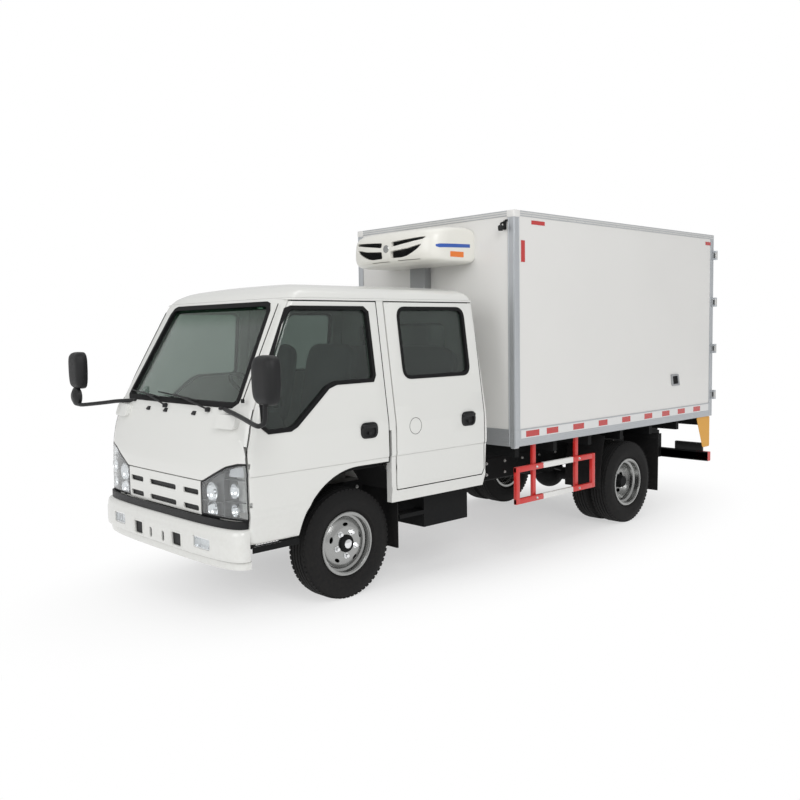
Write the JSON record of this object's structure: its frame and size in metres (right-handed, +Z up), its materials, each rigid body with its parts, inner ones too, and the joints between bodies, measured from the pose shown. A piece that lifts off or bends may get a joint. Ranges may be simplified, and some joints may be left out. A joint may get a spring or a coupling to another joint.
{
  "type": "refrigerated truck",
  "caption": "White forward-control light truck with a crew cab, an insulated refrigerated box, a nose-mounted condenser unit, red side guards and twin rear wheels",
  "frame": {"origin": "on the ground, under the middle of the overall length and on the centre line", "axes": "+X forward, +Y to the truck's left, +Z up"},
  "size_m": [5.99, 2.796, 2.781],
  "materials": {
    "body_white": "gloss",
    "box_panel": "gloss",
    "box_edge": "satin",
    "chassis_black": "satin",
    "engine_grey": "matte",
    "wheel_silver": "satin",
    "tyre_rubber": "matte",
    "tinted_glass": "gloss",
    "lamp_clear": "gloss",
    "lamp_red": "gloss",
    "guard_red": "satin",
    "trim_black": "matte",
    "unit_cream": "satin",
    "unit_grey": "matte",
    "cabin_grey": "matte",
    "seat_fabric": "matte"
  },
  "bodies": {
    "truck": {"chassis_frame": "chassis_black", "box_subframe": "chassis_black", "engine_block": "engine_grey", "front_axle": "chassis_black", "rear_axle": "chassis_black", "leaf_springs": "chassis_black", "drive_shaft": "chassis_black", "fuel_tank": "chassis_black", "battery_box": "chassis_black", "exhaust": "chassis_black", "mudguards": "trim_black", "side_guards": "guard_red", "underride_bar": "chassis_black", "tail_lamps": "lamp_red", "cab_body": "body_white", "cab_roof": "body_white", "front_panel": "body_white", "grille": "body_white", "headlamps": "lamp_clear", "front_bumper": "body_white", "fog_lamps": "lamp_clear", "cab_glass": "tinted_glass", "mirrors": "trim_black", "dashboard": "cabin_grey", "steering_wheel": "cabin_grey", "seats": "seat_fabric", "box_floor": "box_panel", "box_front_wall": "box_panel", "box_side_walls": "box_panel", "box_roof": "box_panel", "box_edge_rails": "box_edge", "refrigeration_unit": "unit_cream", "duct_cover": "unit_grey", "evaporator": "unit_grey"},
    "left_front_door": {"left_front_door": "body_white", "left_front_window": "tinted_glass"},
    "right_front_door": {"right_front_door": "body_white", "right_front_window": "tinted_glass"},
    "left_rear_door": {"left_rear_door": "body_white", "left_rear_window": "tinted_glass"},
    "right_rear_door": {"right_rear_door": "body_white", "right_rear_window": "tinted_glass"},
    "left_box_door": {"left_box_door": "box_panel"},
    "right_box_door": {"right_box_door": "box_panel"},
    "left_knuckle": {"left_knuckle": "engine_grey"},
    "right_knuckle": {"right_knuckle": "engine_grey"},
    "front_left_wheel": {"front_left_wheel": "wheel_silver", "front_left_tyre": "tyre_rubber"},
    "front_right_wheel": {"front_right_wheel": "wheel_silver", "front_right_tyre": "tyre_rubber"},
    "rear_left_wheels": {"rear_left_wheels": "wheel_silver", "rear_left_tyres": "tyre_rubber"},
    "rear_right_wheels": {"rear_right_wheels": "wheel_silver", "rear_right_tyres": "tyre_rubber"}
  },
  "joints": [
    {"name": "left_front_door_hinge", "type": "hinge", "parent": "truck", "child": "left_front_door", "pos_m": [2.807, 0.915, 1.2], "axis": [0, 0, -1], "range_deg": [0, 70]},
    {"name": "left_rear_door_hinge", "type": "hinge", "parent": "truck", "child": "left_rear_door", "pos_m": [1.575, 0.915, 1.3], "axis": [0, 0, -1], "range_deg": [0, 70]},
    {"name": "left_box_door_hinge", "type": "hinge", "parent": "truck", "child": "left_box_door", "pos_m": [-2.96, 0.964, 1.8], "axis": [0, 0, -1], "range_deg": [0, 240]},
    {"name": "left_steering", "type": "hinge", "parent": "truck", "child": "left_knuckle", "pos_m": [1.99, 0.645, 0.384], "axis": [0, 0, 1], "range_deg": [-34, 34]},
    {"name": "front_left_wheel_spin", "type": "hinge", "parent": "left_knuckle", "child": "front_left_wheel", "pos_m": [1.99, 0.735, 0.384], "axis": [0, 1, 0], "continuous": true},
    {"name": "rear_left_wheels_spin", "type": "hinge", "parent": "truck", "child": "rear_left_wheels", "pos_m": [-1.37, 0.729, 0.384], "axis": [0, 1, 0], "continuous": true},
    {"name": "right_front_door_hinge", "type": "hinge", "parent": "truck", "child": "right_front_door", "pos_m": [2.807, -0.915, 1.2], "axis": [0, 0, 1], "range_deg": [0, 70]},
    {"name": "right_rear_door_hinge", "type": "hinge", "parent": "truck", "child": "right_rear_door", "pos_m": [1.575, -0.915, 1.3], "axis": [0, 0, 1], "range_deg": [0, 70]},
    {"name": "right_box_door_hinge", "type": "hinge", "parent": "truck", "child": "right_box_door", "pos_m": [-2.96, -0.964, 1.8], "axis": [0, 0, 1], "range_deg": [0, 240]},
    {"name": "right_steering", "type": "hinge", "parent": "truck", "child": "right_knuckle", "pos_m": [1.99, -0.645, 0.384], "axis": [0, 0, 1], "range_deg": [-34, 34]},
    {"name": "front_right_wheel_spin", "type": "hinge", "parent": "right_knuckle", "child": "front_right_wheel", "pos_m": [1.99, -0.735, 0.384], "axis": [0, 1, 0], "continuous": true},
    {"name": "rear_right_wheels_spin", "type": "hinge", "parent": "truck", "child": "rear_right_wheels", "pos_m": [-1.37, -0.729, 0.384], "axis": [0, 1, 0], "continuous": true}
  ],
  "couplings": [
    {"joint": "right_steering", "follows": "left_steering", "ratio": 1}
  ]
}
